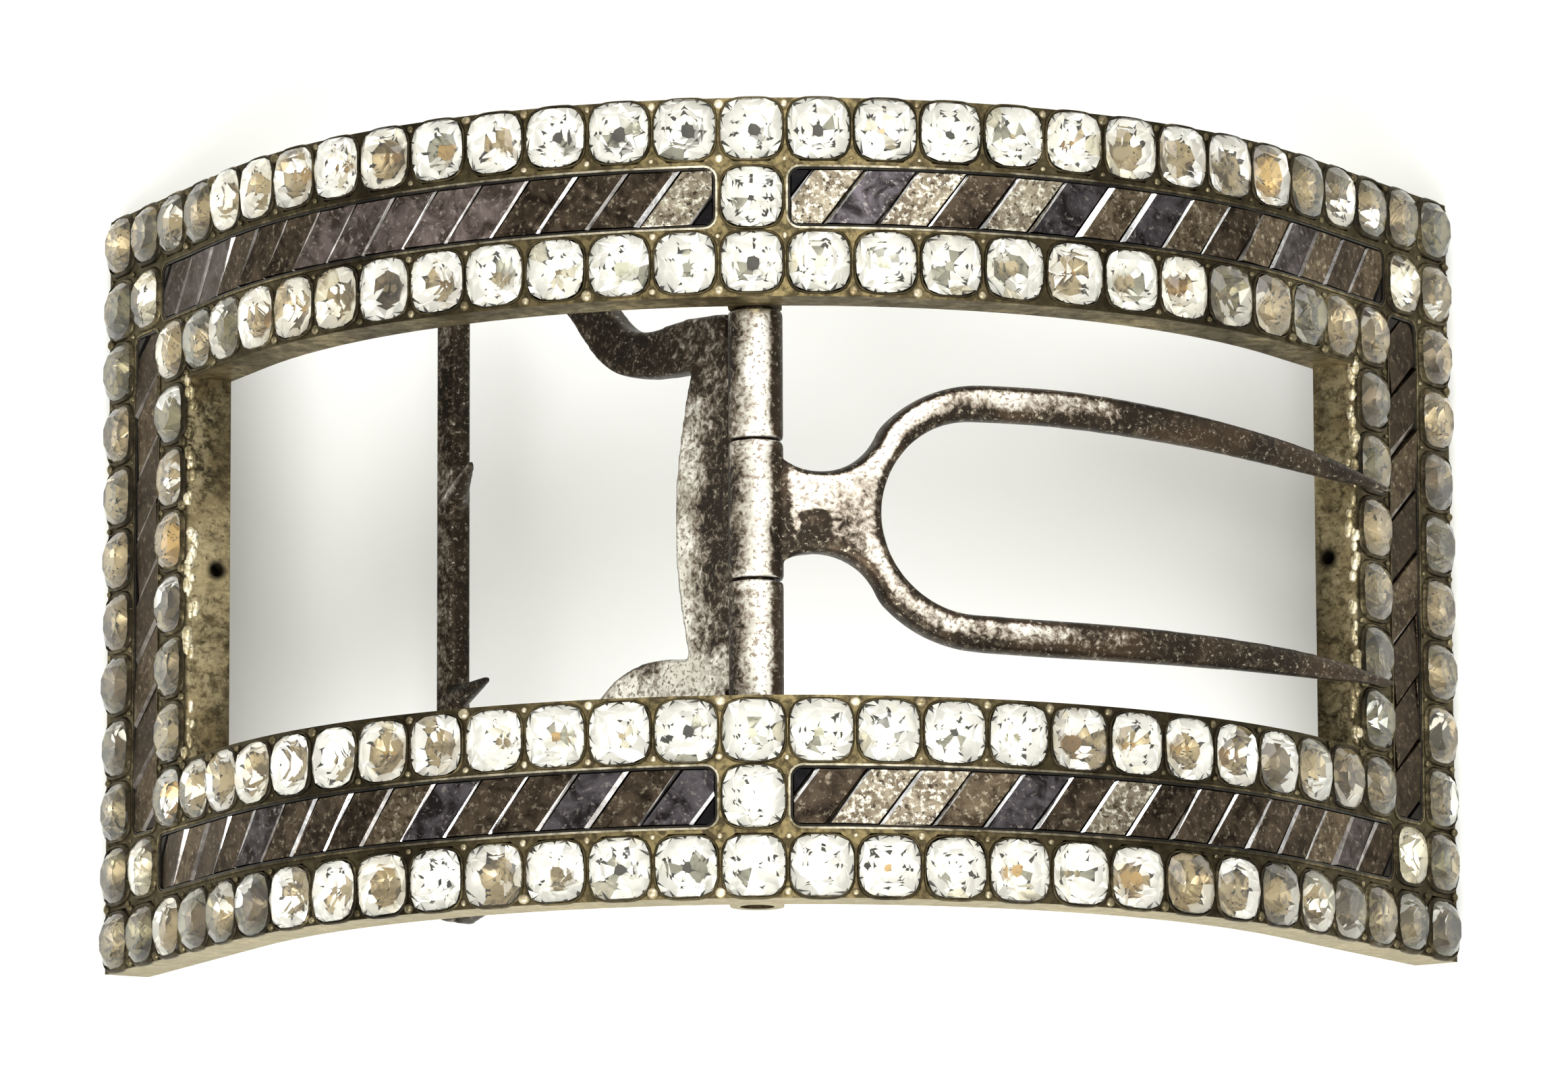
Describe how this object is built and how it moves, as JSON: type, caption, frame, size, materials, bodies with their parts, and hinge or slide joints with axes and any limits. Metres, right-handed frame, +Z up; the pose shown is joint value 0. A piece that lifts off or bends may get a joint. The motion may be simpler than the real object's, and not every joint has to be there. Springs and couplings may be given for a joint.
{
  "type": "shoe buckle",
  "caption": "Arched shoe buckle set with cushion-cut pastes and a channel of dark slanted strips, with a hinged steel chape and a forked tongue.",
  "frame": {"origin": "middle of the surface the buckle's feet stand on", "axes": "+X along the strap towards the tongue's tips, +Y along the pin, +Z up to the top of the arch"},
  "size_m": [0.0846, 0.048, 0.0367],
  "materials": {
    "silver": "tarnished silver, dull, dark in the recesses",
    "steel": "worn and rusted steel with bright rubbed patches",
    "paste": "clear cut glass over foil",
    "dark_glass": "dark foiled glass, scuffed"
  },
  "bodies": {
    "frame": {"frame": "silver", "pin": "steel", "outer_stones": "paste", "inner_stones": "paste", "corner_stones": "paste", "centre_stones": "paste", "strip_top_left": "dark_glass", "strip_top_right": "dark_glass", "strip_bottom_left": "dark_glass", "strip_bottom_right": "dark_glass", "strip_left": "dark_glass", "strip_right": "dark_glass"},
    "chape": {"chape": "steel"},
    "tongue": {"tongue": "steel"}
  },
  "joints": [
    {"name": "chape_hinge", "type": "hinge", "parent": "frame", "child": "chape", "pos_m": [0, 0, 0.03181], "axis": [0, 1, 0], "range_deg": [-60, 22]},
    {"name": "tongue_hinge", "type": "hinge", "parent": "frame", "child": "tongue", "pos_m": [0, 0, 0.03181], "axis": [0, 1, 0], "range_deg": [-190, 0]}
  ]
}
